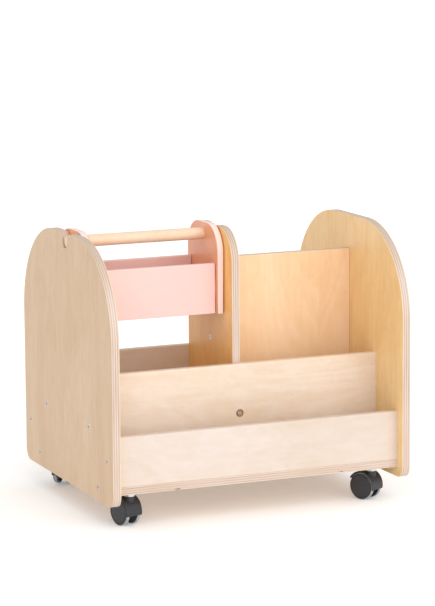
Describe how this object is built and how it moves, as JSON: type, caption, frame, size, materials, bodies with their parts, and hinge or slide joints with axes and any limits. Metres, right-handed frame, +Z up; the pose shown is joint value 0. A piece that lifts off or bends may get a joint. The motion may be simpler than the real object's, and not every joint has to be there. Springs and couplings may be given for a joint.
{
  "type": "book cart",
  "caption": "Low rolling book cart of plywood with round-topped ends, trays and bays on both sides, a lift-out pink caddy hung from a rod, and hooded swivel casters.",
  "frame": {"origin": "on the floor under the middle of the cart", "axes": "+X along the cart from the caddy end to the back panel end, +Y from the front tray to the rear tray, +Z up"},
  "size_m": [0.58, 0.46, 0.51],
  "materials": {
    "birch_ply": "clear satin lacquer",
    "pale_board": "clear satin lacquer",
    "pink_paint": "satin paint on wood",
    "rod_wood": "clear satin lacquer",
    "zinc_steel": "bright zinc plate",
    "black_nylon": "fine satin",
    "wheel_tread": "smooth, slightly glossy"
  },
  "bodies": {
    "cart": {"left_end_panel": "birch_ply", "right_end_panel": "birch_ply", "base_board": "birch_ply", "centre_partition": "birch_ply", "centre_back_panel": "birch_ply", "front_lip_board": "pale_board", "rear_lip_board": "pale_board", "front_tier_board": "pale_board", "rear_tier_board": "pale_board", "end_panel_screws": "zinc_steel", "partition_screws": "zinc_steel", "back_panel_screws": "zinc_steel", "base_screws": "zinc_steel", "front_left_caster_insert": "zinc_steel", "front_left_caster_nut": "zinc_steel", "front_left_caster_stem": "zinc_steel", "front_right_caster_insert": "zinc_steel", "front_right_caster_nut": "zinc_steel", "front_right_caster_stem": "zinc_steel", "rear_left_caster_insert": "zinc_steel", "rear_left_caster_nut": "zinc_steel", "rear_left_caster_stem": "zinc_steel", "rear_right_caster_insert": "zinc_steel", "rear_right_caster_nut": "zinc_steel", "rear_right_caster_stem": "zinc_steel"},
    "rod": {"caddy_rod": "rod_wood"},
    "caddy": {"caddy_left_end": "pink_paint", "caddy_right_end": "pink_paint", "caddy_front_board": "pink_paint", "caddy_rear_board": "pink_paint", "caddy_bottom_board": "pink_paint", "caddy_pins": "zinc_steel"},
    "front_left_fork": {"front_left_caster_hood": "black_nylon", "front_left_caster_axle": "zinc_steel"},
    "front_left_left_wheel": {"front_left_caster_left_wheel": "black_nylon", "front_left_caster_left_tread": "wheel_tread"},
    "front_left_right_wheel": {"front_left_caster_right_wheel": "black_nylon", "front_left_caster_right_tread": "wheel_tread"},
    "front_right_fork": {"front_right_caster_hood": "black_nylon", "front_right_caster_axle": "zinc_steel"},
    "front_right_left_wheel": {"front_right_caster_left_wheel": "black_nylon", "front_right_caster_left_tread": "wheel_tread"},
    "front_right_right_wheel": {"front_right_caster_right_wheel": "black_nylon", "front_right_caster_right_tread": "wheel_tread"},
    "rear_left_fork": {"rear_left_caster_hood": "black_nylon", "rear_left_caster_axle": "zinc_steel"},
    "rear_left_left_wheel": {"rear_left_caster_left_wheel": "black_nylon", "rear_left_caster_left_tread": "wheel_tread"},
    "rear_left_right_wheel": {"rear_left_caster_right_wheel": "black_nylon", "rear_left_caster_right_tread": "wheel_tread"},
    "rear_right_fork": {"rear_right_caster_hood": "black_nylon", "rear_right_caster_axle": "zinc_steel"},
    "rear_right_left_wheel": {"rear_right_caster_left_wheel": "black_nylon", "rear_right_caster_left_tread": "wheel_tread"},
    "rear_right_right_wheel": {"rear_right_caster_right_wheel": "black_nylon", "rear_right_caster_right_tread": "wheel_tread"}
  },
  "joints": [
    {"name": "caddy_lift", "type": "slide", "parent": "cart", "child": "rod", "axis": [0, 0, 1], "range_m": [0, 0.3]},
    {"name": "caddy_swing", "type": "hinge", "parent": "rod", "child": "caddy", "pos_m": [-0.14125, 0, 0.489], "axis": [1, 0, 0], "range_deg": [-75, 75]},
    {"name": "front_left_swivel", "type": "hinge", "parent": "cart", "child": "front_left_fork", "pos_m": [-0.2385, -0.1744, 0.05], "axis": [0, 0, 1], "continuous": true},
    {"name": "front_left_left_spin", "type": "hinge", "parent": "front_left_fork", "child": "front_left_left_wheel", "pos_m": [-0.24181, -0.16286, 0.025], "axis": [0.9613, 0.2756, 0], "continuous": true},
    {"name": "front_left_right_spin", "type": "hinge", "parent": "front_left_fork", "child": "front_left_right_wheel", "pos_m": [-0.24181, -0.16286, 0.025], "axis": [0.9613, 0.2756, 0], "continuous": true},
    {"name": "front_right_swivel", "type": "hinge", "parent": "cart", "child": "front_right_fork", "pos_m": [0.2385, -0.1744, 0.05], "axis": [0, 0, 1], "continuous": true},
    {"name": "front_right_left_spin", "type": "hinge", "parent": "front_right_fork", "child": "front_right_left_wheel", "pos_m": [0.23277, -0.16385, 0.025], "axis": [0.8788, 0.4772, 0], "continuous": true},
    {"name": "front_right_right_spin", "type": "hinge", "parent": "front_right_fork", "child": "front_right_right_wheel", "pos_m": [0.23277, -0.16385, 0.025], "axis": [0.8788, 0.4772, 0], "continuous": true},
    {"name": "rear_left_swivel", "type": "hinge", "parent": "cart", "child": "rear_left_fork", "pos_m": [-0.2385, 0.1744, 0.05], "axis": [0, 0, 1], "continuous": true},
    {"name": "rear_left_left_spin", "type": "hinge", "parent": "rear_left_fork", "child": "rear_left_left_wheel", "pos_m": [-0.23079, 0.18359, 0.025], "axis": [0.766, -0.6428, 0], "continuous": true},
    {"name": "rear_left_right_spin", "type": "hinge", "parent": "rear_left_fork", "child": "rear_left_right_wheel", "pos_m": [-0.23079, 0.18359, 0.025], "axis": [0.766, -0.6428, 0], "continuous": true},
    {"name": "rear_right_swivel", "type": "hinge", "parent": "cart", "child": "rear_right_fork", "pos_m": [0.2385, 0.1744, 0.05], "axis": [0, 0, 1], "continuous": true},
    {"name": "rear_right_left_spin", "type": "hinge", "parent": "rear_right_fork", "child": "rear_right_left_wheel", "pos_m": [0.2325, 0.18479, 0.025], "axis": [0.866, 0.5, 0], "continuous": true},
    {"name": "rear_right_right_spin", "type": "hinge", "parent": "rear_right_fork", "child": "rear_right_right_wheel", "pos_m": [0.2325, 0.18479, 0.025], "axis": [0.866, 0.5, 0], "continuous": true}
  ]
}
